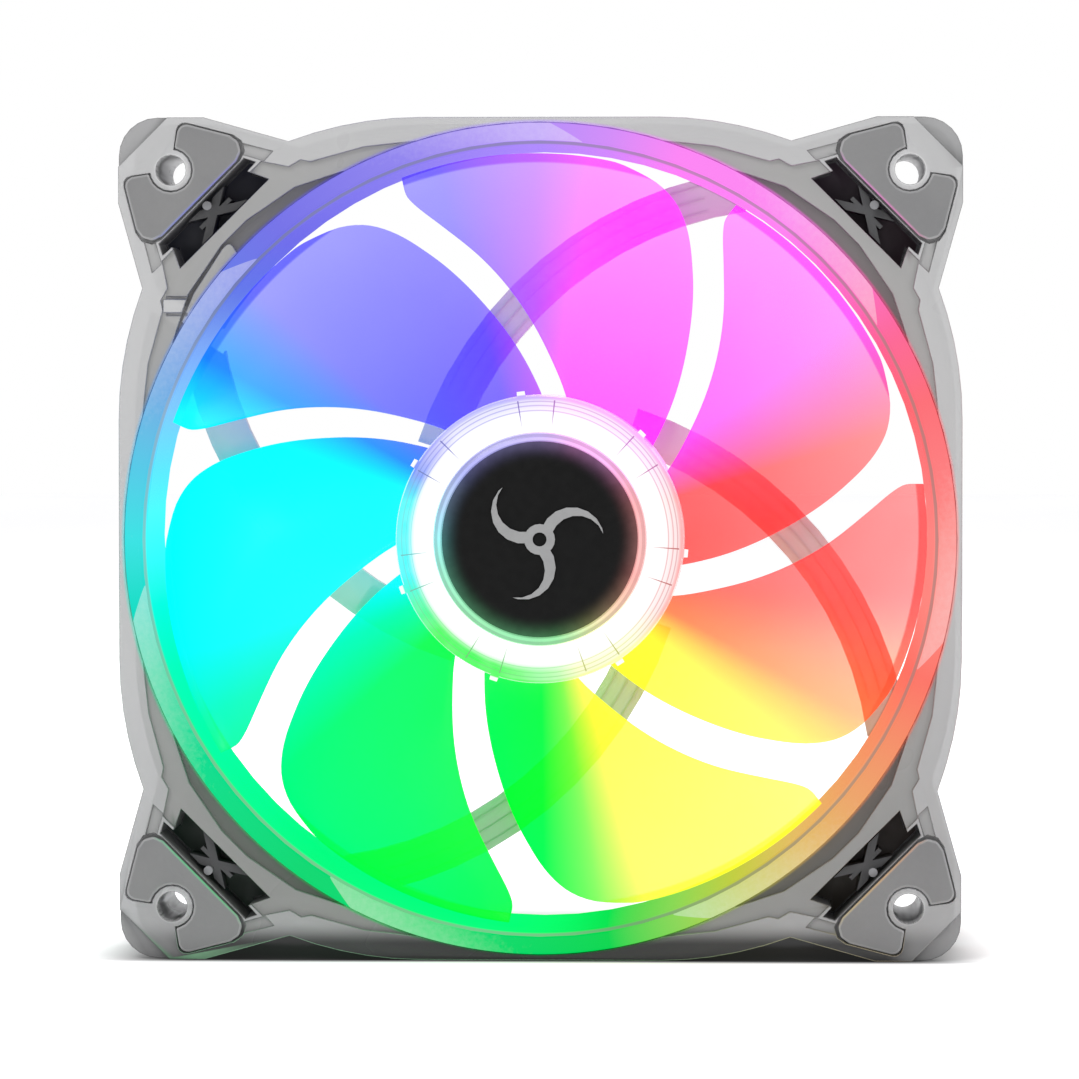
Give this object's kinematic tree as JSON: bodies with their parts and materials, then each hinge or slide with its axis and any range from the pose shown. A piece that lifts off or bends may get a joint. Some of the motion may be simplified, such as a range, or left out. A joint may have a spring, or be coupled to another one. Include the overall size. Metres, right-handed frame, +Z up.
{
  "type": "case fan",
  "caption": "Square computer case fan with a see-through frame, frosted light ring, clear impeller on a brushless motor, lit hub and rubber corner pads.",
  "frame": {"origin": "the middle of the fan, on the axis that the impeller turns about", "axes": "+Y is the fan axis, towards the rear where air leaves; +Z up; +X right, seen from the front"},
  "size_m": [0.12, 0.025, 0.12],
  "materials": {
    "smoky_plastic": "smoky see-through moulded plastic",
    "frosted_ring": "frosted, lit from inside",
    "grey_rubber": "matt grey rubber",
    "dark_plastic": "dark moulded plastic",
    "black_plastic": "black plastic",
    "label": "blank satin label",
    "board": "white circuit board",
    "bronze": "sintered bronze",
    "core_steel": "stacked steel sheets",
    "nylon": "white nylon",
    "copper": "enamelled copper wire",
    "black_rubber": "black rubber",
    "steel": "plain steel",
    "clear_plastic": "clear plastic that carries the light",
    "glow_lens": "clear rim and white glowing inner ring",
    "trim_metal": "bright trim",
    "cap_black": "satin black",
    "silver_mark": "satin silver",
    "ferrite": "bonded magnet",
    "led_red": "red light",
    "led_magenta": "magenta light",
    "led_blue": "blue light",
    "led_cyan": "cyan light",
    "led_green": "green light",
    "led_yellow": "yellow light"
  },
  "bodies": {
    "housing": {"bearing_sleeve": "bronze", "cable_clip_inner": "black_plastic", "cable_clip_outer": "black_plastic", "capacitor": "bronze", "circuit_board": "board", "coil_1": "copper", "coil_2": "copper", "coil_3": "copper", "coil_4": "copper", "corner_insert_bl": "dark_plastic", "corner_insert_br": "dark_plastic", "corner_insert_tl": "dark_plastic", "corner_insert_tr": "dark_plastic", "driver_chip": "black_plastic", "hall_sensor": "black_plastic", "housing": "smoky_plastic", "insulator_front": "nylon", "insulator_rear": "nylon", "led_1": "led_red", "led_2": "led_magenta", "led_3": "led_blue", "led_4": "led_cyan", "led_5": "led_green", "led_6": "led_yellow", "light_ring": "frosted_ring", "oil_seal": "black_rubber", "pad_front_bl": "grey_rubber", "pad_front_br": "grey_rubber", "pad_front_tl": "grey_rubber", "pad_front_tr": "grey_rubber", "pad_rear_bl": "grey_rubber", "pad_rear_br": "grey_rubber", "pad_rear_tl": "grey_rubber", "pad_rear_tr": "grey_rubber", "rear_label": "label", "retaining_clip": "steel", "stator_core": "core_steel", "thrust_pad": "nylon"},
    "rotor": {"impeller": "clear_plastic", "hub_lens": "glow_lens", "cap_ring": "trim_metal", "hub_cap": "cap_black", "emblem": "silver_mark", "rotor_yoke": "steel", "magnet_ring": "ferrite", "shaft": "steel"}
  },
  "joints": [
    {"name": "rotor_spin", "type": "hinge", "parent": "housing", "child": "rotor", "pos_m": [0, 0, 0], "axis": [0, -1, 0], "continuous": true}
  ]
}
